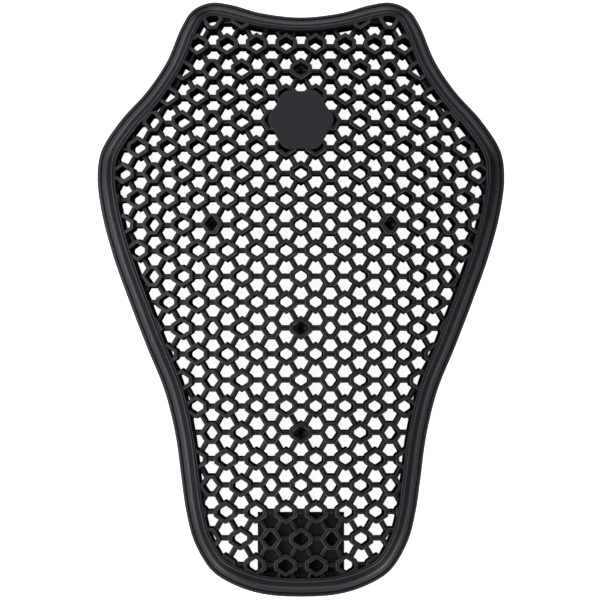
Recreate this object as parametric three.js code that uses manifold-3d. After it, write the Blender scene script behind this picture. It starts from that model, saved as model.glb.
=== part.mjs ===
// Back protector insert: one moulded elastomer panel, lying convex side up as it rests by itself.
// Millimetres. X runs across the back, Y up the back and Z out of the convex side, away from the wearer.
// Every piece is drawn flat, in (across, up, height), and then bent onto the panel's curved back face.
import * as THREE from 'three';
import { mergeVertices } from 'three/addons/utils/BufferGeometryUtils.js';
import Module from 'manifold-3d';

const wasm = await Module();
wasm.setup();

// The panel and its curve
const LENGTH = 443;
const WIDTH = 303;
const ARCH_RISE = 12; // the highest point of the arch along the spine, over the line between its ends
const ACROSS_RADIUS = 950; // the gentle curve around the ribcage
const GAP = 0.3; // clearance between neighbouring pieces

// Border rim
const RIM_WIDTH = 16.1; // at the wing tips: it narrows towards the foot
const RIM_HEIGHT = 15;
const RIM_STATIONS = 116;

// Net of cells. The real cells are 21.5 mm apart. Here they are drawn larger by NET_SCALE, in plan
// only, so that the net has about 120 gaps in place of some 700.
const NET_SCALE = 2.4;
const CELL_PITCH = 21.55;
const ROW_PITCH = 19.1;
const RING_HEIGHT = 14;
const RIB_HEIGHT = 7.4;
const RIB_WIDTH = 2.9;

// Hexagons of the two kinds of cell: a pointed one has upright sides, a flat one has level sides.
const CELLS = {
  pointed: { wide: 15.6, tall: 15.2, side: 4.6, holeWide: 10, holeTall: 9, holeSide: 2.5 },
  flat: { wide: 15.3, tall: 15.8, side: 5.2, holeWide: 8.6, holeTall: 10.1, holeSide: 2.2 },
};

// Badge plate, lying flush on the ring tops between the shoulders
const BADGE_UP = 0.792; // its centre, as a share of the length
const BADGE_RADIUS = 22.8;
const BADGE_LOBE = 1.4; // how far its six lobes stand out, and its sides fall in
const BADGE_LOBES = 6;
const BADGE_THICKNESS = 2.4;
const BADGE_PROUD = 0.5; // its face over the ring tops
const BADGE_STEPS = 72;

// Back patch: a plain sheet flush with the back face, at the foot of the panel
const PATCH_WIDTH = 64;
const PATCH_REACH = 47.3; // from the rim's inner foot upwards
const PATCH_THICKNESS = 1.5;

// Half of the outline, from the foot of the panel to the dip between the shoulders:
// across as a share of half the width, up as a share of the length, rim as a share of its width.
const OUTLINE = [
  { place: 'foot', across: 0.0, up: 0.0, rim: 0.9 },
  { place: 'foot', across: 0.195, up: 0.005, rim: 0.9 },
  { place: 'foot bend', across: 0.341, up: 0.022, rim: 0.9 },
  { place: 'foot bend', across: 0.437, up: 0.044, rim: 0.9 },
  { place: 'lower side', across: 0.521, up: 0.092, rim: 0.92 },
  { place: 'lower side', across: 0.56, up: 0.142, rim: 0.92 },
  { place: 'waist', across: 0.582, up: 0.193, rim: 0.94 },
  { place: 'waist', across: 0.612, up: 0.268, rim: 0.95 },
  { place: 'flank', across: 0.666, up: 0.343, rim: 0.97 },
  { place: 'flank', across: 0.755, up: 0.418, rim: 0.975 },
  { place: 'flank', across: 0.841, up: 0.494, rim: 0.98 },
  { place: 'flank', across: 0.921, up: 0.57, rim: 0.98 },
  { place: 'wing', across: 0.98, up: 0.646, rim: 1.0 },
  { place: 'wing tip', across: 1.0, up: 0.704, rim: 1.0 },
  { place: 'wing', across: 0.982, up: 0.747, rim: 1.0 },
  { place: 'wing', across: 0.888, up: 0.798, rim: 1.0 },
  { place: 'neck', across: 0.757, up: 0.848, rim: 0.95 },
  { place: 'neck', across: 0.66, up: 0.899, rim: 0.94 },
  { place: 'shoulder', across: 0.587, up: 0.96, rim: 0.92 },
  { place: 'shoulder', across: 0.535, up: 0.987, rim: 0.92 },
  { place: 'shoulder top', across: 0.446, up: 1.0, rim: 0.91 },
  { place: 'shoulder top', across: 0.347, up: 0.996, rim: 0.91 },
  { place: 'dip', across: 0.198, up: 0.981, rim: 0.88 },
  { place: 'dip', across: 0.0, up: 0.973, rim: 0.88 },
];

// The rim's section, from its outer foot over the top to its inner foot: a bead at the edge, a groove,
// a band, a cove that steepens inwards to a thin lip, and a ledge that the net meets:
// inward as a share of the rim's width, up as a share of its height.
const RIM_SECTION = [
  { place: 'outer foot', inward: 0.02, up: 0.0 },
  { place: 'edge bead', inward: 0.0, up: 0.18 },
  { place: 'edge bead', inward: 0.04, up: 0.25 },
  { place: 'edge bead', inward: 0.16, up: 0.25 },
  { place: 'groove', inward: 0.195, up: 0.2 },
  { place: 'band', inward: 0.22, up: 0.25 },
  { place: 'band', inward: 0.33, up: 0.278 },
  { place: 'cove', inward: 0.44, up: 0.355 },
  { place: 'cove', inward: 0.52, up: 0.465 },
  { place: 'cove', inward: 0.793, up: 0.955 },
  { place: 'lip', inward: 0.836, up: 1.0 },
  { place: 'lip', inward: 0.875, up: 1.0 },
  { place: 'step', inward: 0.918, up: 0.922 },
  { place: 'ledge', inward: 0.947, up: 0.94 },
  { place: 'ledge', inward: 0.98, up: 0.94 },
  { place: 'inner foot', inward: 1.0, up: 0.0 },
];

// Height of the curved back face. The arch along the spine peaks two thirds of the way up.
const ARCH_SHAPE = 27 / 4;

function backHeight(across, up) {
  const share = up / LENGTH + 0.5;
  const arch = ARCH_RISE * ARCH_SHAPE * share * share * (1 - share);
  return arch - (across * across) / (2 * ACROSS_RADIUS);
}

function slopeUp(up) {
  const share = up / LENGTH + 0.5;
  return (ARCH_RISE * ARCH_SHAPE * (2 * share - 3 * share * share)) / LENGTH;
}

function bentPoint(point) {
  const normal = new THREE.Vector3(point.x / ACROSS_RADIUS, -slopeUp(point.y), 1).normalize();
  const foot = new THREE.Vector3(point.x, point.y, backHeight(point.x, point.y));
  return foot.addScaledVector(normal, point.z);
}

function bend(geometry) {
  const position = geometry.attributes.position;
  for (let i = 0; i < position.count; i += 1) {
    const point = bentPoint(new THREE.Vector3().fromBufferAttribute(position, i));
    position.setXYZ(i, point.x, point.y, point.z);
  }
  geometry.computeVertexNormals();
  return geometry;
}

// Solids for cutting and joining
function toSolid(geometry) {
  const bare = geometry.clone();
  bare.deleteAttribute('normal');
  bare.deleteAttribute('uv');
  const merged = mergeVertices(bare);
  const mesh = new wasm.Mesh({
    numProp: 3,
    vertProperties: merged.attributes.position.array,
    triVerts: new Uint32Array(merged.index.array),
  });
  return new wasm.Manifold(mesh);
}

function toGeometry(solid) {
  const mesh = solid.getMesh();
  const geometry = new THREE.BufferGeometry();
  geometry.setAttribute('position', new THREE.BufferAttribute(mesh.vertProperties, 3));
  geometry.setIndex(new THREE.BufferAttribute(mesh.triVerts, 1));
  geometry.computeVertexNormals();
  return geometry;
}

function prism(points, bottom, top) {
  const geometry = new THREE.ExtrudeGeometry(new THREE.Shape(points), {
    depth: top - bottom,
    bevelEnabled: false,
  });
  return geometry.translate(0, 0, bottom);
}

// The outline as a smooth closed curve, walked anticlockwise from the foot.
// Its third coordinate carries the rim's width at each place.
function outlineCurve() {
  const half = OUTLINE.map((row) => {
    const across = (row.across * WIDTH) / 2;
    return new THREE.Vector3(across, (row.up - 0.5) * LENGTH, row.rim * RIM_WIDTH);
  });
  const mirrored = half.slice(1, -1).reverse();
  const other = mirrored.map((point) => new THREE.Vector3(-point.x, point.y, point.z));
  return new THREE.CatmullRomCurve3([...half, ...other], true);
}

const outline = outlineCurve();

// The outline moved inwards by a share of the rim's width, and a clearance
function outlineLoop(rimShare, clearance) {
  const loop = [];
  for (let i = 0; i < RIM_STATIONS; i += 1) {
    const share = i / RIM_STATIONS;
    const point = outline.getPointAt(share);
    const along = outline.getTangentAt(share);
    const inward = rimShare * point.z + clearance;
    loop.push(new THREE.Vector2(point.x - along.y * inward, point.y + along.x * inward));
  }
  return loop;
}

function borderRim() {
  const loops = RIM_SECTION.map((row) => outlineLoop(row.inward, 0));
  const vertices = [];
  loops.forEach((loop, k) => {
    loop.forEach((point) => vertices.push(point.x, point.y, RIM_SECTION[k].up * RIM_HEIGHT));
  });
  const faces = [];
  for (let k = 0; k < loops.length; k += 1) {
    const next = (k + 1) % loops.length;
    for (let i = 0; i < RIM_STATIONS; i += 1) {
      const after = (i + 1) % RIM_STATIONS;
      const a = k * RIM_STATIONS + i;
      const b = k * RIM_STATIONS + after;
      const c = next * RIM_STATIONS + after;
      const d = next * RIM_STATIONS + i;
      faces.push(a, b, c, a, c, d);
    }
  }
  const geometry = new THREE.BufferGeometry();
  geometry.setAttribute('position', new THREE.Float32BufferAttribute(vertices, 3));
  geometry.setIndex(faces);
  return bend(geometry);
}

// Corners of a cell's hexagon: a pointed one stands on a corner, a flat one on a side.
function hexagon(kind, wide, tall, side, centre) {
  const corners = [];
  for (const [x, y] of [[1, -1], [1, 1], [0, 2], [-1, 1], [-1, -1], [0, -2]]) {
    const shoulder = Math.abs(y) === 1;
    if (kind === 'pointed') {
      corners.push([(x * wide) / 2, shoulder ? (y * side) / 2 : (Math.sign(y) * tall) / 2]);
    } else {
      corners.push([shoulder ? (-y * side) / 2 : (-Math.sign(y) * wide) / 2, (x * tall) / 2]);
    }
  }
  return corners.map(([x, y]) => {
    return new THREE.Vector2(centre.x + x * NET_SCALE, centre.y + y * NET_SCALE);
  });
}

// Net nodes lie on a triangular lattice around the badge's centre: column + row is even.
const badgeCentre = new THREE.Vector2(0, (BADGE_UP - 0.5) * LENGTH);

function netNode(column, row) {
  return new THREE.Vector2(
    badgeCentre.x + (column * CELL_PITCH * NET_SCALE) / 2,
    badgeCentre.y - row * ROW_PITCH * NET_SCALE,
  );
}

// In every second row each second cell is a flat one.
function cellKind(column, row) {
  return row % 2 === 0 && Math.abs(column) % 4 === 2 ? 'flat' : 'pointed';
}

function rib(from, to) {
  const along = to.clone().sub(from).normalize();
  const side = new THREE.Vector2(-along.y, along.x).multiplyScalar((RIB_WIDTH * NET_SCALE) / 2);
  const corners = [
    from.clone().sub(side),
    to.clone().sub(side),
    to.clone().add(side),
    from.clone().add(side),
  ];
  return prism(corners, 0, RIB_HEIGHT);
}

// The ends of rings that the rim cuts off belong to its ledge: only the joined net is kept.
function largestPiece(solid) {
  return solid.decompose().sort((a, b) => b.volume() - a.volume())[0];
}

function cellLattice(pockets) {
  const columns = Math.ceil(WIDTH / (CELL_PITCH * NET_SCALE)) + 1;
  const rows = Math.ceil(LENGTH / (ROW_PITCH * NET_SCALE)) + 1;
  const walls = [];
  const holes = [];
  for (let row = -rows; row <= rows; row += 1) {
    for (let column = -columns; column <= columns; column += 1) {
      if ((column + row) % 2 !== 0) {
        continue;
      }
      const here = netNode(column, row);
      const kind = cellKind(column, row);
      const cell = CELLS[kind];
      walls.push(prism(hexagon(kind, cell.wide, cell.tall, cell.side, here), 0, RING_HEIGHT));
      holes.push(
        prism(
          hexagon(kind, cell.holeWide, cell.holeTall, cell.holeSide, here),
          -RING_HEIGHT,
          2 * RING_HEIGHT,
        ),
      );
      for (const [right, down] of [[2, 0], [1, 1], [-1, 1]]) {
        walls.push(rib(here, netNode(column + right, row + down)));
      }
    }
  }
  const field = toSolid(prism(outlineLoop(1, GAP), -RING_HEIGHT, 2 * RING_HEIGHT));
  const joined = wasm.Manifold.union(walls.map(toSolid));
  const pierced = joined.subtract(wasm.Manifold.union(holes.map(toSolid))).intersect(field);
  const bent = toSolid(bend(toGeometry(largestPiece(pierced))));
  const fitted = pockets.reduce((solid, pocket) => solid.subtract(toSolid(pocket)), bent);
  return toGeometry(largestPiece(fitted));
}

// The badge plate and the back patch are truly flat, and lie along the panel where they sit.
function seat(up, height) {
  const place = new THREE.Object3D();
  place.position.copy(bentPoint(new THREE.Vector3(0, up, height)));
  place.rotation.x = Math.atan(slopeUp(up));
  place.updateMatrix();
  return place;
}

const badgeSeat = seat(badgeCentre.y, RING_HEIGHT + BADGE_PROUD - BADGE_THICKNESS);

function badgeLoop(margin) {
  const loop = [];
  for (let i = 0; i < BADGE_STEPS; i += 1) {
    const turn = (i / BADGE_STEPS) * 2 * Math.PI;
    const radius = BADGE_RADIUS + margin + BADGE_LOBE * Math.cos(BADGE_LOBES * turn);
    loop.push(new THREE.Vector2(radius * Math.cos(turn), radius * Math.sin(turn)));
  }
  return loop;
}

const patchFoot = -LENGTH / 2 + RIM_WIDTH * OUTLINE[0].rim;
const patchUp = patchFoot + PATCH_REACH / 2;
const patchSeat = seat(patchUp, 0);

function patchOutline(margin) {
  const wide = PATCH_WIDTH / 2 + margin;
  const tall = PATCH_REACH / 2 + margin;
  return [
    new THREE.Vector2(-wide, -tall),
    new THREE.Vector2(wide, -tall),
    new THREE.Vector2(wide, tall),
    new THREE.Vector2(-wide, tall),
  ];
}

function backPatch() {
  const sheet = toSolid(prism(patchOutline(0), 0, PATCH_THICKNESS));
  const room = prism(outlineLoop(1, GAP), -RING_HEIGHT, 2 * RING_HEIGHT);
  return toGeometry(sheet.intersect(toSolid(room.translate(0, -patchUp, 0))));
}

// Pockets in the net that the plate and the patch sit in, with a clearance all round
const badgePocket = prism(badgeLoop(GAP), -GAP, 2 * RING_HEIGHT).applyMatrix4(badgeSeat.matrix);
const patchPocket = prism(patchOutline(GAP), -RING_HEIGHT, PATCH_THICKNESS + GAP).applyMatrix4(
  patchSeat.matrix,
);

// Moulded black elastomer, a little smoother on the plate
const elastomer = { color: 0x2b2b2d, roughness: 0.62, metalness: 0 };

function piece(name, geometry, finish, place) {
  const mesh = new THREE.Mesh(geometry, new THREE.MeshStandardMaterial(finish));
  mesh.name = name;
  if (place) {
    mesh.position.copy(place.position);
    mesh.rotation.copy(place.rotation);
  }
  return mesh;
}

const panel = new THREE.Group();
panel.add(
  piece('border_rim', borderRim(), elastomer),
  piece('cell_lattice', cellLattice([badgePocket, patchPocket]), elastomer),
  piece('badge_plate', prism(badgeLoop(0), 0, BADGE_THICKNESS), elastomer, badgeSeat),
  piece('back_patch', backPatch(), { ...elastomer, color: 0x242426 }, patchSeat),
);

// The origin is under the middle of the panel, on the surface that it rests on.
const box = new THREE.Box3().setFromObject(panel);
const middle = box.getCenter(new THREE.Vector3());
panel.position.set(-middle.x, -middle.y, -box.min.z);

const group = new THREE.Group();
group.add(panel);

export default group;
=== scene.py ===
# Back protector insert: the finish of one moulded elastomer panel, lying convex side up. Metres.
# Pieces are modelled flat, in (across, up, height), and then bent onto the panel's curved back face.
import math

import bpy
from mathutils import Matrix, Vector


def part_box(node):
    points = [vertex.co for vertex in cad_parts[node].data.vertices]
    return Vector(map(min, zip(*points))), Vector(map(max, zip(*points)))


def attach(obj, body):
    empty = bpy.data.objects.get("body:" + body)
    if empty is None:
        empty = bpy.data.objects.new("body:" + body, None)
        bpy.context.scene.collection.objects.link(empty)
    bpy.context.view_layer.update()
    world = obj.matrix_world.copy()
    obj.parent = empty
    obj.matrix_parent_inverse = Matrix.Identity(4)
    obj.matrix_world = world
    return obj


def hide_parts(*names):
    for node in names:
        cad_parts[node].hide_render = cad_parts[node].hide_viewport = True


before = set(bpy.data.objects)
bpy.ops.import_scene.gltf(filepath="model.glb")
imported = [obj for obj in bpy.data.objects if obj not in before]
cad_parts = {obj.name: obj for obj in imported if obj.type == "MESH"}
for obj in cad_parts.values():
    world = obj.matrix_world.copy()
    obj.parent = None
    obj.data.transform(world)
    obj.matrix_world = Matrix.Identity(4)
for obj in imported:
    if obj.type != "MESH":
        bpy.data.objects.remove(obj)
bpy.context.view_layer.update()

MM = 0.001
WELD = 0.001 * MM  # points closer than this are one

# The panel and its curve, as in the part's source
LENGTH = 443 * MM
WIDTH = 303 * MM
ARCH_RISE = 12 * MM
ARCH_SHAPE = 27 / 4
ACROSS_RADIUS = 950 * MM
RIM_WIDTH = 16.1 * MM
RIM_HEIGHT = 15 * MM
RING_HEIGHT = 14 * MM
RIB_HEIGHT = 7.4 * MM

# The net at its real size
CELL_PITCH = 21.55 * MM
ROW_PITCH = 19.1 * MM
RIB_END = 5.6 * MM  # from a cell's centre to where its ribs stop, inside the ring's wall
NET_HOLD = 0.6 * MM  # how far the net runs into the rim's inner wall
TILE_COLUMNS = 4
TILE_ROWS = 2
TILES_ACROSS = 9
TILES_UP = 14
TILES_ABOVE_BADGE = 3
# The net is drawn out a little in the mould, and more so towards the foot
NET_UP = 0.56 * MM
NET_WIDER = 0.006
NET_SHORTER = 0.005
FOOT_STARTS = 0.6  # share of the length, up from the foot
FOOT_WIDER = 0.09
FOOT_LONGER = 14.1 * MM

# The camera, over the panel and a little towards its foot
PX = LENGTH / 597  # one pixel of the photograph at the panel
PICTURE_SIDE = 600  # pixels
CAMERA_TILT = 3.8  # degrees
CAMERA_DISTANCE = 1.8
CAMERA_SENSOR = 36.0  # in millimetres, as Blender counts it
CAMERA_TARGET = Vector((-0.7 * MM, -2.6 * MM, 10 * MM))

# The studio: a glowing sheet of paper, a sky that brightens above a height on its dome, and lamps
WHITE = "#FFFFFF"
PAPER = "#F4F4F2"
PAPER_ROUGHNESS = 0.9
PAPER_GLOW = 0.93
FLOOR_SIZE = 12.0
SKY = 0.02
SKY_STARTS = 0.3
# Lamps: name, azimuth from +X and elevation in degrees, size in metres, power in watts, colour
LAMP_DISTANCE = 2.3
COOL = "#F5F3FF"
WARM = "#FFF7F8"
LAMPS = [
    ("left_key", 180, 47, 1.4, 9, COOL),
    ("low_left", 235, 47, 1.4, 9, COOL),
    ("low_right", 300, 47, 1.4, 9, COOL),
    ("right_fill", 0, 47, 1.4, 5, COOL),
    ("upper_right", 60, 47, 1.4, 7, COOL),
    ("upper_left", 115, 47, 1.4, 8, COOL),
    ("high_left", 175, 68, 1.0, 6, COOL),
    ("left_edge", 188, 10, 1.4, 19, COOL),
    ("low_left_edge", 225, 10, 1.4, 20, WARM),
    ("foot_edge", 270, 8, 1.4, 9, WARM),
    ("low_right_edge", 312, 10, 1.4, 25, WARM),
    ("right_edge", 340, 10, 1.4, 8, COOL),
    ("upper_right_edge", 42, 10, 1.4, 10, COOL),
    ("top_edge", 90, 7, 1.4, 14, COOL),
    ("upper_left_edge", 145, 10, 1.4, 18, COOL),
]

# Plate and patch, and how deep the room for each is cut
BADGE_SHARE = 0.792  # of the length, from the foot up to the plate's centre
BADGE_UP = (BADGE_SHARE - 0.5) * LENGTH
BADGE_RADIUS = 22.8 * MM
BADGE_LOBE = 1.4 * MM
BADGE_LOBES = 6
BADGE_THICKNESS = 2.4 * MM
BADGE_PROUD = 0.5 * MM
BADGE_STEPS = 144
BADGE_ROOM = 3 * BADGE_THICKNESS
PATCH_WIDTH = 64 * MM
PATCH_REACH = 48 * MM
PATCH_THICKNESS = 1.5 * MM
PATCH_ROOM = 3 * PATCH_THICKNESS
EDGE_SOFT = 0.4 * MM
EDGE_SEGMENTS = 3
UPPER_FACES = 0.9  # share of a slab's thickness that its top face lies above
TOP_FACES = 0.999  # the same once its edge is rounded

# Faces that meet at less than this many degrees are shaded as one surface
SMOOTH_BELOW = 38
NET_SMOOTH_BELOW = 25

# Half of the outline from the foot to the dip between the shoulders:
# (across as a share of half the width, up as a share of the length, rim as a share of its width)
OUTLINE = [
    (0.0, 0.0, 0.9),
    (0.195, 0.005, 0.9),
    (0.341, 0.022, 0.9),
    (0.437, 0.044, 0.9),
    (0.521, 0.092, 0.92),
    (0.56, 0.142, 0.92),
    (0.582, 0.193, 0.94),
    (0.612, 0.268, 0.95),
    (0.666, 0.343, 0.97),
    (0.755, 0.418, 0.975),
    (0.841, 0.494, 0.98),
    (0.921, 0.57, 0.98),
    (0.98, 0.646, 1.0),
    (1.0, 0.704, 1.0),
    (0.982, 0.747, 1.0),
    (0.888, 0.798, 1.0),
    (0.757, 0.848, 0.95),
    (0.66, 0.899, 0.94),
    (0.587, 0.96, 0.92),
    (0.535, 0.987, 0.92),
    (0.446, 1.0, 0.91),
    (0.347, 0.996, 0.91),
    (0.198, 0.981, 0.88),
    (0.0, 0.973, 0.88),
]
CURVE_STEPS = 24  # from one point of the outline to the next
FOOT_RIM_WIDTH = RIM_WIDTH * OUTLINE[0][2]

# The rim's section from its outer foot over the top to its inner foot:
# (inward as a share of the rim's width, up as a share of its height)
RIM_SECTION = [
    (0.04, 0.0),
    (0.02, 0.0),
    (0.0, 0.03),
    (0.0, 0.175),
    (0.012, 0.215),
    (0.035, 0.24),
    (0.07, 0.252),
    (0.13, 0.254),
    (0.162, 0.247),
    (0.179, 0.225),
    (0.189, 0.2),
    (0.201, 0.205),
    (0.215, 0.235),
    (0.235, 0.25),
    (0.28, 0.258),
    (0.33, 0.271),
    (0.38, 0.292),
    (0.43, 0.323),
    (0.48, 0.366),
    (0.525, 0.418),
    (0.57, 0.485),
    (0.612, 0.567),
    (0.65, 0.657),
    (0.685, 0.757),
    (0.716, 0.848),
    (0.742, 0.914),
    (0.766, 0.956),
    (0.792, 0.983),
    (0.82, 0.997),
    (0.845, 1.0),
    (0.862, 0.99),
    (0.875, 0.968),
    (0.886, 0.955),
    (0.897, 0.963),
    (0.912, 0.986),
    (0.932, 0.997),
    (0.952, 0.993),
    (0.969, 0.972),
    (0.985, 0.92),
    (0.998, 0.04),
    (0.995, 0.0),
    (0.96, 0.0),
]
RIM_STATIONS = 340
# The mould's parting line, a thin flash across the rim's bead, groove and band at the foot
FLASH_WIDTH = 0.6 * MM
FLASH_PROUD = 0.16 * MM
FLASH_DEEP = 1.5 * MM
FLASH_FROM = 3  # the points of the rim's section that it runs from and to
FLASH_TO = 24

# Rings, as a stack of hexagons from the base up, over the top and down the hole:
# (height, width across, height up the back, length of the two sides that lie square, cut of the corners)
POINTED_STACK = [
    (0.0, 17.2 * MM, 18.4 * MM, 6.2 * MM, 1.0 * MM),
    (13.6 * MM, 15.9 * MM, 16.6 * MM, 5.8 * MM, 0.4 * MM),
    (RING_HEIGHT, 15.0 * MM, 15.5 * MM, 5.3 * MM, 0.25 * MM),
    (RING_HEIGHT, 11.5 * MM, 11.4 * MM, 3.7 * MM, 0.25 * MM),
    (13.65 * MM, 10.7 * MM, 10.4 * MM, 3.3 * MM, 0.3 * MM),
    (0.0, 8.5 * MM, 8.3 * MM, 2.8 * MM, 0.6 * MM),
]
FLAT_STACK = [
    (0.0, 17.6 * MM, 17.2 * MM, 6.8 * MM, 0.8 * MM),
    (13.6 * MM, 16.1 * MM, 15.4 * MM, 6.3 * MM, 0.4 * MM),
    (RING_HEIGHT, 15.0 * MM, 14.5 * MM, 5.8 * MM, 0.25 * MM),
    (RING_HEIGHT, 11.1 * MM, 11.4 * MM, 3.0 * MM, 0.25 * MM),
    (13.65 * MM, 10.2 * MM, 10.5 * MM, 2.5 * MM, 0.3 * MM),
    (0.0, 7.9 * MM, 8.8 * MM, 2.1 * MM, 0.5 * MM),
]
# A rib's stack: (height, width)
RIB_STACK = [
    (0.0, 4.2 * MM),
    (6.5 * MM, 3.3 * MM),
    (7.1 * MM, 2.8 * MM),
    (RIB_HEIGHT, 1.4 * MM),
]
# The floor of a closed cell, which dips to the small pit of its gate
FLOOR_STACK = [
    (0.0, 12.6 * MM, 12.6 * MM, 4.4 * MM, 0.4 * MM),
    (5.3 * MM, 12.6 * MM, 12.6 * MM, 4.4 * MM, 0.4 * MM),
    (3.0 * MM, 2.8 * MM, 2.8 * MM, 1.4 * MM, 0.3 * MM),
    (1.2 * MM, 0.9 * MM, 0.9 * MM, 0.45 * MM, 0.1 * MM),
]
# (column, row) from the badge: the five closed cells, and those that the badge half covers
CLOSED_CELLS = [
    (0, -2),
    (-6, 4),
    (6, 4),
    (0, 8),
    (0, 12),
    (-2, 0),
    (2, 0),
    (-1, -1),
    (1, -1),
    (-1, 1),
    (1, 1),
]
# From a cell to its neighbours, each pair once: (columns, rows)
NEIGHBOURS = [(2, 0), (1, 1), (-1, 1)]

# The elastomer's surface
NITRILE_IOR = 1.5
GRAIN = 0.7 * MM  # the spark-eroded grain is about 0.1 mm: drawn this coarse, so that it shows
FLOW = 60 * MM  # broad dull and shiny clouds where the compound flowed
SHINIER = 0.06  # how far the roughness falls and rises with the grain
DULLER = 0.08
# Each finish: (darkest colour, palest colour, roughness, depth of the grain)
# Rim and net, from finely eroded steel: a satin black whose lips and edges catch soft light lines
MOULDED_NITRILE = ("#100F12", "#151417", 0.36, 0.02 * MM)
# Plate, from a coarser eroded face: an even black, a little duller than the net's
MATTE_NITRILE = ("#0D0C0F", "#151417", 0.42, 0.1 * MM)
# Patch, a pressed nitrile sheet: dull and a little browner, with no highlight
MATTE_BACKING = ("#221E1F", "#2C2626", 0.7, 0.1 * MM)


def linear(hex_colour):
    """An sRGB hex colour as linear RGBA."""
    parts = [int(hex_colour[i:i + 2], 16) / 255 for i in (1, 3, 5)]
    return [c / 12.92 if c <= 0.04045 else ((c + 0.055) / 1.055) ** 2.4 for c in parts] + [1.0]


def deselect():
    """Leaves nothing selected."""
    bpy.ops.object.select_all(action="DESELECT")


def use(obj):
    """Makes an object the only selected one, and the active one."""
    deselect()
    obj.select_set(True)
    bpy.context.view_layer.objects.active = obj
    return obj


def added(name):
    """The primitive that was just added, named."""
    obj = bpy.context.active_object
    obj.name = name
    obj.data.name = name
    return obj


def modify(obj, kind, **settings):
    """Adds a modifier with its settings and applies it."""
    use(obj)
    modifier = obj.modifiers.new(kind.lower(), kind)
    for key, value in settings.items():
        setattr(modifier, key, value)
    bpy.ops.object.modifier_apply(modifier=modifier.name)
    return obj


def boolean(obj, tool, operation):
    """Joins an object with a tool, or cuts it by one, and deletes the tool."""
    modify(obj, "BOOLEAN", object=tool, operation=operation, solver="MANIFOLD")
    bpy.data.objects.remove(tool)
    return obj


def joined(objects, name):
    """Several objects as one, named."""
    deselect()
    for obj in objects:
        obj.select_set(True)
    bpy.context.view_layer.objects.active = objects[0]
    bpy.ops.object.join()
    return added(name)


def copy_at(obj, place, turn=0.0):
    """A copy with its own mesh, turned about Z and moved to a place in plan."""
    use(obj)
    bpy.ops.object.duplicate()
    copy = bpy.context.active_object
    copy.rotation_euler.z = turn
    copy.location = (place[0], place[1], 0.0)
    bpy.ops.object.transform_apply(location=True, rotation=True, scale=True)
    return copy


def edit_faces(obj, wanted):
    """Opens a piece in edit mode with only the wanted faces selected."""
    use(obj)
    bpy.ops.object.mode_set(mode="EDIT")
    bpy.ops.mesh.select_mode(type="FACE")
    bpy.ops.mesh.select_all(action="DESELECT")
    bpy.ops.object.mode_set(mode="OBJECT")
    for face in obj.data.polygons:
        face.select = wanted(face)
    bpy.ops.object.mode_set(mode="EDIT")


def outwards(obj):
    """Merges what touches and turns every face outwards."""
    use(obj)
    bpy.ops.object.mode_set(mode="EDIT")
    bpy.ops.mesh.select_all(action="SELECT")
    bpy.ops.mesh.remove_doubles(threshold=WELD)
    bpy.ops.mesh.normals_make_consistent(inside=False)
    bpy.ops.object.mode_set(mode="OBJECT")
    return obj


def stacked(name, rows):
    """A solid built up from a flat face, extruded once for each further row.

    Each level is then fitted to its row's height and outline.
    """
    count = len(rows[0][1])
    bpy.ops.mesh.primitive_circle_add(vertices=count, radius=1.0, fill_type="NGON")
    obj = added(name)
    bpy.ops.object.mode_set(mode="EDIT")
    bpy.ops.mesh.select_mode(type="FACE")
    bpy.ops.mesh.select_all(action="SELECT")
    for row in rows[1:]:
        bpy.ops.mesh.extrude_region_move(TRANSFORM_OT_translate={"value": (0, 0, 1)})
    bpy.ops.object.mode_set(mode="OBJECT")
    for vertex in obj.data.vertices:
        height, outline = rows[round(vertex.co.z)]
        turn = math.atan2(vertex.co.y, vertex.co.x) / (2 * math.pi)
        corner = outline[round(turn * count) % count]
        vertex.co = (corner[0], corner[1], height)
    return outwards(obj)


def bridged(obj):
    """Closes a stack into a ring: its first and last faces make way for a wall between them."""
    edit_faces(obj, lambda face: len(face.vertices) > 4)
    bpy.ops.mesh.bridge_edge_loops()
    bpy.ops.object.mode_set(mode="OBJECT")
    return outwards(obj)


def pointed(wide, tall, side, cut):
    """A hexagon with a point at its top and bottom, and its corners cut."""
    corners = [
        (0, tall / 2),
        (-wide / 2, side / 2),
        (-wide / 2, -side / 2),
        (0, -tall / 2),
        (wide / 2, -side / 2),
        (wide / 2, side / 2),
    ]
    return cut_corners(corners, cut)


def flat(wide, tall, side, cut):
    """A hexagon with a flat side at its top and bottom, and its corners cut."""
    corners = [
        (wide / 2, 0),
        (side / 2, tall / 2),
        (-side / 2, tall / 2),
        (-wide / 2, 0),
        (-side / 2, -tall / 2),
        (side / 2, -tall / 2),
    ]
    return cut_corners(corners, cut)


def cut_corners(corners, cut):
    """A hexagon with each corner replaced by two, a cut away from it along its sides.

    At its two points the cut is half as long.
    """
    points = []
    for i, corner in enumerate(corners):
        here = Vector(corner)
        away = cut if i % 3 else cut / 2
        for other in (corners[i - 1], corners[(i + 1) % len(corners)]):
            points.append(here + (Vector(other) - here).normalized() * away)
    return points


def ring(name, shape, stack):
    """A hexagonal ring with drafted walls: a stack whose two end faces are bridged into its back."""
    return bridged(stacked(name, [(height, shape(*sizes)) for height, *sizes in stack]))


def node(column, row):
    """A cell's centre in plan, counted from the badge: column and row add up to an even number."""
    return Vector((column * CELL_PITCH / 2, BADGE_UP - row * ROW_PITCH))


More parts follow.
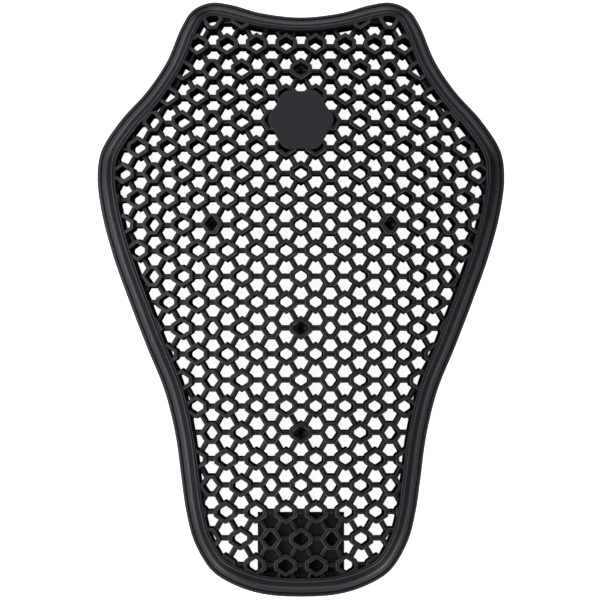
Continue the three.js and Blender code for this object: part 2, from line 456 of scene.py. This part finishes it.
def outline_curve():
    """The closed outline as many points (across, up, rim width), on a centripetal Catmull-Rom curve."""
    half = [Vector((a * WIDTH / 2, (u - 0.5) * LENGTH, r * RIM_WIDTH)) for a, u, r in OUTLINE]
    knots = half + [Vector((-p.x, p.y, p.z)) for p in reversed(half[1:-1])]
    curve = []
    for i, b in enumerate(knots):
        a, c, d = knots[i - 1], knots[(i + 1) % len(knots)], knots[(i + 2) % len(knots)]
        before, here, after = (math.sqrt((q - p).length) for p, q in ((a, b), (b, c), (c, d)))
        leave = ((b - a) / before - (c - a) / (before + here) + (c - b) / here) * here
        reach = ((c - b) / here - (d - b) / (here + after) + (d - c) / after) * here
        for k in range(CURVE_STEPS):
            t = k / CURVE_STEPS
            curve.append(
                b * (2 * t**3 - 3 * t**2 + 1)
                + leave * (t**3 - 2 * t**2 + t)
                + c * (3 * t**2 - 2 * t**3)
                + reach * (t**3 - t**2)
            )
    return curve


def outline_stations(count):
    """Evenly spaced stations of the outline, each a point with the rim's width, and the way inwards."""
    curve = outline_curve()
    closed = curve + curve[:1]
    lengths = [0.0]
    for p, q in zip(closed, closed[1:]):
        lengths.append(lengths[-1] + (q - p).length)
    stations = []
    k = 0
    for i in range(count):
        target = lengths[-1] * i / count
        while lengths[k + 1] < target:
            k += 1
        share = (target - lengths[k]) / (lengths[k + 1] - lengths[k])
        point = closed[k].lerp(closed[k + 1], share)
        ahead, behind = closed[(k + 2) % len(curve)], closed[k - 1]
        along = (ahead - behind).to_2d().normalized()
        stations.append((point, Vector((-along.y, along.x))))
    return stations


STATIONS = outline_stations(RIM_STATIONS)


def outline_loop(rim_share, more=0.0):
    """The outline moved inwards by a share of the rim's width and a bit more."""
    return [point.to_2d() + inward * (rim_share * point.z + more) for point, inward in STATIONS]


def back_height(across, up):
    """Height of the panel's curved back face at a place in plan."""
    share = up / LENGTH + 0.5
    return ARCH_RISE * ARCH_SHAPE * share * share * (1 - share) - across**2 / (2 * ACROSS_RADIUS)


def slope_up(up):
    """How steeply the back face climbs along the spine."""
    share = up / LENGTH + 0.5
    return ARCH_RISE * ARCH_SHAPE * (2 * share - 3 * share * share) / LENGTH


def bent(point):
    """Where the curve puts a point of the flat model."""
    normal = Vector((point.x / ACROSS_RADIUS, -slope_up(point.y), 1)).normalized()
    return Vector((point.x, point.y, back_height(point.x, point.y))) + normal * point.z


def bend(obj, shift):
    """Lays a flat-modelled piece along the panel's back face, at its place in the frame."""
    for vertex in obj.data.vertices:
        vertex.co = bent(vertex.co) + shift
    return obj


def seat(obj, up, height, shift):
    """Tilts a truly flat piece to lie along the panel at a height on the spine."""
    use(obj)
    obj.rotation_euler.x = math.atan(slope_up(up))
    obj.location = bent(Vector((0, up, height))) + shift
    bpy.ops.object.transform_apply(location=True, rotation=True, scale=True)
    return obj


def smooth(obj, degrees=SMOOTH_BELOW):
    use(obj)
    bpy.ops.object.shade_smooth_by_angle(angle=math.radians(degrees), keep_sharp_edges=True)
    return obj


def flat_rim():
    """The border: the outline stacked once for each point of the rim's section, and its two ends bridged."""
    rows = [(up * RIM_HEIGHT, outline_loop(inward)) for inward, up in RIM_SECTION]
    return bridged(stacked("moulded_rim", rows))


def parting_flash():
    """A thin slab that stands just proud of the rim's section, square across it at the foot."""
    rows = RIM_SECTION[FLASH_FROM:FLASH_TO]
    section = [Vector((inward * FOOT_RIM_WIDTH, up * RIM_HEIGHT)) for inward, up in rows]
    outer = []
    inner = []
    for before, here, after in zip(section, section[1:], section[2:]):
        along = (after - before).normalized()
        outwards_way = Vector((-along.y, along.x))
        outer.append(here + outwards_way * FLASH_PROUD)
        inner.append(here - outwards_way * FLASH_DEEP)
    obj = prism("parting_flash", outer + inner[::-1], -FLASH_WIDTH / 2, FLASH_WIDTH / 2)
    for vertex in obj.data.vertices:
        sideways, inward, up = vertex.co.z, vertex.co.x, vertex.co.y
        vertex.co = (sideways, inward - LENGTH / 2, up)
    return outwards(obj)


def prism(name, loop, low, high):
    """An upright solid over an outline."""
    return stacked(name, [(low, loop), (high, loop)])


def drawn_out(point):
    """A point of the net where the mould's stretch puts it."""
    below = max(0.0, FOOT_STARTS - (point.y / LENGTH + 0.5))
    across = point.x * (1 + NET_WIDER + FOOT_WIDER * below**2)
    up = point.y * (1 - NET_SHORTER) + NET_UP - FOOT_LONGER * below**2
    return Vector((across, up, point.z))


def tiled(tile):
    """A tile of the net repeated over the panel, with one cell under the badge."""
    modify(
        tile,
        "ARRAY",
        count=TILES_ACROSS,
        use_relative_offset=False,
        use_constant_offset=True,
        constant_offset_displace=(TILE_COLUMNS * CELL_PITCH / 2, 0, 0),
    )
    modify(
        tile,
        "ARRAY",
        count=TILES_UP,
        use_relative_offset=False,
        use_constant_offset=True,
        constant_offset_displace=(0, -TILE_ROWS * ROW_PITCH, 0),
    )
    left = -(TILES_ACROSS // 2) * TILE_COLUMNS * CELL_PITCH / 2
    tile.location = (left, TILES_ABOVE_BADGE * TILE_ROWS * ROW_PITCH, 0)
    use(tile)
    bpy.ops.object.transform_apply(location=True, rotation=False, scale=False)
    return tile


def flat_net():
    """The net: rings of both kinds and their ribs as one tile, repeated, fused and trimmed by the rim."""
    upright = ring("pointed_ring", pointed, POINTED_STACK)
    level = ring("flat_ring", flat, FLAT_STACK)
    cells = {(0, 0): upright, (2, 0): level, (1, 1): upright, (3, 1): upright}
    rings = [copy_at(kind, node(*place)) for place, kind in cells.items()]
    ribs = []
    for column, row in cells:
        for right, down in NEIGHBOURS:
            here = node(column, row)
            there = node(column + right, row + down)
            reach = there - here
            half = reach.length / 2 - RIB_END
            bar = stacked("rib", [(height, rectangle(half, edge / 2)) for height, edge in RIB_STACK])
            ribs.append(copy_at(bar, (here + there) / 2, math.atan2(reach.y, reach.x)))
            bpy.data.objects.remove(bar)
    for kind in (upright, level):
        bpy.data.objects.remove(kind)
    net = tiled(joined(rings, "moulded_net"))
    boolean(net, tiled(joined(ribs, "ribs")), "UNION")
    floor = stacked("cell_floor", [(height, pointed(*sizes)) for height, *sizes in FLOOR_STACK])
    floors = [copy_at(floor, node(*place)) for place in CLOSED_CELLS]
    bpy.data.objects.remove(floor)
    boolean(net, joined(floors, "cell_floors"), "UNION")
    for vertex in net.data.vertices:
        vertex.co = drawn_out(vertex.co)
    field = prism("field", outline_loop(1.0, -NET_HOLD), -RING_HEIGHT, 2 * RING_HEIGHT)
    return boolean(net, field, "INTERSECT")


def badge_loop():
    """The plate's outline, round with six shallow lobes."""
    loop = []
    for i in range(BADGE_STEPS):
        turn = 2 * math.pi * i / BADGE_STEPS
        radius = BADGE_RADIUS + BADGE_LOBE * math.cos(BADGE_LOBES * turn)
        loop.append((radius * math.cos(turn), radius * math.sin(turn)))
    return loop


def soft_slab(name, loop, thickness):
    """A flat sheet or plate whose top edge is softened."""
    obj = prism(name, loop, 0.0, thickness)
    edit_faces(obj, lambda face: face.center.z > thickness * UPPER_FACES)
    bpy.ops.mesh.region_to_loop()
    bpy.ops.mesh.bevel(offset=EDGE_SOFT, segments=EDGE_SEGMENTS, affect="EDGES")
    bpy.ops.object.mode_set(mode="OBJECT")
    edit_faces(obj, lambda face: face.center.z > thickness * TOP_FACES)
    bpy.ops.mesh.inset(thickness=EDGE_SOFT)
    bpy.ops.object.mode_set(mode="OBJECT")
    return obj


def rectangle(across, up):
    """The four corners of a rectangle, from half its width and half its height."""
    return [(across, up), (-across, up), (-across, -up), (across, -up)]


def add_node(tree, kind, links=None, **settings):
    """A shader node with its settings and, by input name, its values or the sockets that feed it."""
    made = tree.nodes.new(kind)
    for key, value in settings.items():
        setattr(made, key, value)
    for key, value in (links or {}).items():
        if isinstance(value, bpy.types.NodeSocket):
            tree.links.new(value, made.inputs[key])
        else:
            made.inputs[key].default_value = value
    return made


def moulded_elastomer(name, dark, pale, roughness, grain_depth):
    """Black nitrile elastomer from a spark-eroded mould: slightly cloudy, with a fine grain."""
    material = bpy.data.materials.new(name)
    material.use_nodes = True
    tree = material.node_tree
    shader = tree.nodes["Principled BSDF"]
    place = add_node(tree, "ShaderNodeTexCoord").outputs["Object"]
    clouds = add_node(
        tree,
        "ShaderNodeTexNoise",
        {"Vector": place, "Scale": 1 / FLOW, "Detail": 3.0, "Roughness": 0.5},
    ).outputs["Fac"]
    grain = add_node(
        tree,
        "ShaderNodeTexNoise",
        {"Vector": place, "Scale": 1 / GRAIN, "Detail": 4.0, "Roughness": 0.6},
    ).outputs["Fac"]
    tint = add_node(
        tree,
        "ShaderNodeMix",
        {"Factor": clouds, "A": linear(dark), "B": linear(pale)},
        data_type="RGBA",
    )
    tree.links.new(tint.outputs[2], shader.inputs["Base Color"])
    sheen = add_node(
        tree,
        "ShaderNodeMapRange",
        {"Value": grain, "To Min": roughness - SHINIER, "To Max": roughness + DULLER},
    )
    tree.links.new(sheen.outputs["Result"], shader.inputs["Roughness"])
    bump = add_node(
        tree,
        "ShaderNodeBump",
        {"Height": grain, "Strength": 1.0, "Distance": grain_depth},
    )
    tree.links.new(bump.outputs["Normal"], shader.inputs["Normal"])
    shader.inputs["IOR"].default_value = NITRILE_IOR
    return material


def plain(name, colour, roughness):
    """A material of one even colour."""
    material = bpy.data.materials.new(name)
    material.use_nodes = True
    shader = material.node_tree.nodes["Principled BSDF"]
    shader.inputs["Base Color"].default_value = linear(colour)
    shader.inputs["Roughness"].default_value = roughness
    return material


def finish_piece(obj, material, slot, *replaced):
    """Gives a piece its material and body, and hides the CAD nodes that it stands for; slot is not used."""
    obj.data.materials.clear()
    obj.data.materials.append(material)
    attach(obj, "root")
    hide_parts(*replaced)


def box_of(obj):
    """The lowest and highest corner of a piece's box."""
    places = [v.co for v in obj.data.vertices]
    low = Vector([min(p[k] for p in places) for k in range(3)])
    high = Vector([max(p[k] for p in places) for k in range(3)])
    return low, high


def build_panel():
    """The four pieces in the frame: the rim is set to its CAD node's box, and the others go with it."""
    rim = bend(flat_rim(), Vector())
    low, high = box_of(rim)
    cad_low, cad_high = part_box("border_rim")
    shift = (cad_low + cad_high - low - high) / 2
    shift.z = cad_low.z - low.z
    for vertex in rim.data.vertices:
        vertex.co += shift
    boolean(rim, bend(parting_flash(), shift), "UNION")
    net = bend(flat_net(), shift)
    badge_height = RING_HEIGHT + BADGE_PROUD - BADGE_THICKNESS
    pocket = prism("badge_pocket", badge_loop(), 0.0, BADGE_ROOM)
    boolean(net, seat(pocket, BADGE_UP, badge_height, shift), "DIFFERENCE")
    patch_up = -LENGTH / 2 + FOOT_RIM_WIDTH + PATCH_REACH / 2
    patch_loop = rectangle(PATCH_WIDTH / 2, PATCH_REACH / 2)
    bed = prism("patch_bed", patch_loop, -PATCH_ROOM, PATCH_THICKNESS)
    boolean(net, seat(bed, patch_up, 0.0, shift), "DIFFERENCE")

    badge = soft_slab("bare_badge", badge_loop(), BADGE_THICKNESS)
    seat(badge, BADGE_UP, badge_height, shift)
    patch = soft_slab("back_sheet", patch_loop, PATCH_THICKNESS)
    seat(patch, patch_up, 0.0, shift)
    return rim, net, badge, patch


def camera():
    """The camera, tilted to where the cell walls show as in the photograph."""
    tilt = math.radians(CAMERA_TILT)
    data = bpy.data.cameras.new("camera")
    data.sensor_width = CAMERA_SENSOR
    data.lens = CAMERA_SENSOR * CAMERA_DISTANCE / (PICTURE_SIDE * PX)
    obj = bpy.data.objects.new("camera", data)
    bpy.context.scene.collection.objects.link(obj)
    obj.location = CAMERA_TARGET + Vector((0, -math.sin(tilt), math.cos(tilt))) * CAMERA_DISTANCE
    obj.rotation_euler = (tilt, 0, 0)
    bpy.context.scene.camera = obj


def area_light(name, place, size, power, colour):
    """A round lamp that faces the panel."""
    data = bpy.data.lights.new(name, "AREA")
    data.shape = "DISK"
    data.size = size
    data.energy = power
    data.color = linear(colour)[:3]
    obj = bpy.data.objects.new(name, data)
    bpy.context.scene.collection.objects.link(obj)
    obj.location = place
    obj.rotation_euler = (-Vector(place)).to_track_quat("-Z", "Y").to_euler()


def studio():
    """A white floor that gives no light back, so that gaps read white, under soft lamps and a dim sky."""
    bpy.ops.mesh.primitive_plane_add(size=FLOOR_SIZE)
    floor = added("floor")
    paper = plain("white_paper", PAPER, PAPER_ROUGHNESS)
    shader = paper.node_tree.nodes["Principled BSDF"]
    shader.inputs["Emission Color"].default_value = linear(WHITE)
    shader.inputs["Emission Strength"].default_value = PAPER_GLOW
    floor.data.materials.append(paper)
    floor.visible_diffuse = False
    floor.visible_glossy = False
    for name, azimuth, elevation, size, power, colour in LAMPS:
        turn = math.radians(azimuth)
        rise = math.radians(elevation)
        level = math.cos(rise)
        way = Vector((level * math.cos(turn), level * math.sin(turn), math.sin(rise)))
        area_light(name, way * LAMP_DISTANCE, size, power, colour)
    world = bpy.data.worlds.new("world")
    world.use_nodes = True
    tree = world.node_tree
    way = add_node(tree, "ShaderNodeTexCoord").outputs["Generated"]
    height = add_node(tree, "ShaderNodeSeparateXYZ", {"Vector": way}).outputs["Z"]
    sky = add_node(
        tree,
        "ShaderNodeMapRange",
        {"Value": height, "From Min": SKY_STARTS, "From Max": 1.0, "To Min": 0.0, "To Max": SKY},
    )
    background = tree.nodes["Background"]
    background.inputs["Color"].default_value = linear(WHITE)
    tree.links.new(sky.outputs["Result"], background.inputs["Strength"])
    bpy.context.scene.world = world
    bpy.context.scene.view_settings.view_transform = "Standard"


camera()
studio()
rim, net, badge, patch = build_panel()
elastomer = moulded_elastomer("moulded_nitrile", *MOULDED_NITRILE)
badge_finish = moulded_elastomer("matte_nitrile", *MATTE_NITRILE)
patch_finish = moulded_elastomer("matte_backing", *MATTE_BACKING)
for piece in (rim, badge, patch):
    smooth(piece)
smooth(net, NET_SMOOTH_BELOW)
finish_piece(rim, elastomer, "moulded_elastomer", "border_rim")
finish_piece(net, elastomer, "moulded_elastomer", "cell_lattice")
finish_piece(badge, badge_finish, "badge_elastomer", "badge_plate")
finish_piece(patch, patch_finish, "patch_elastomer", "back_patch")
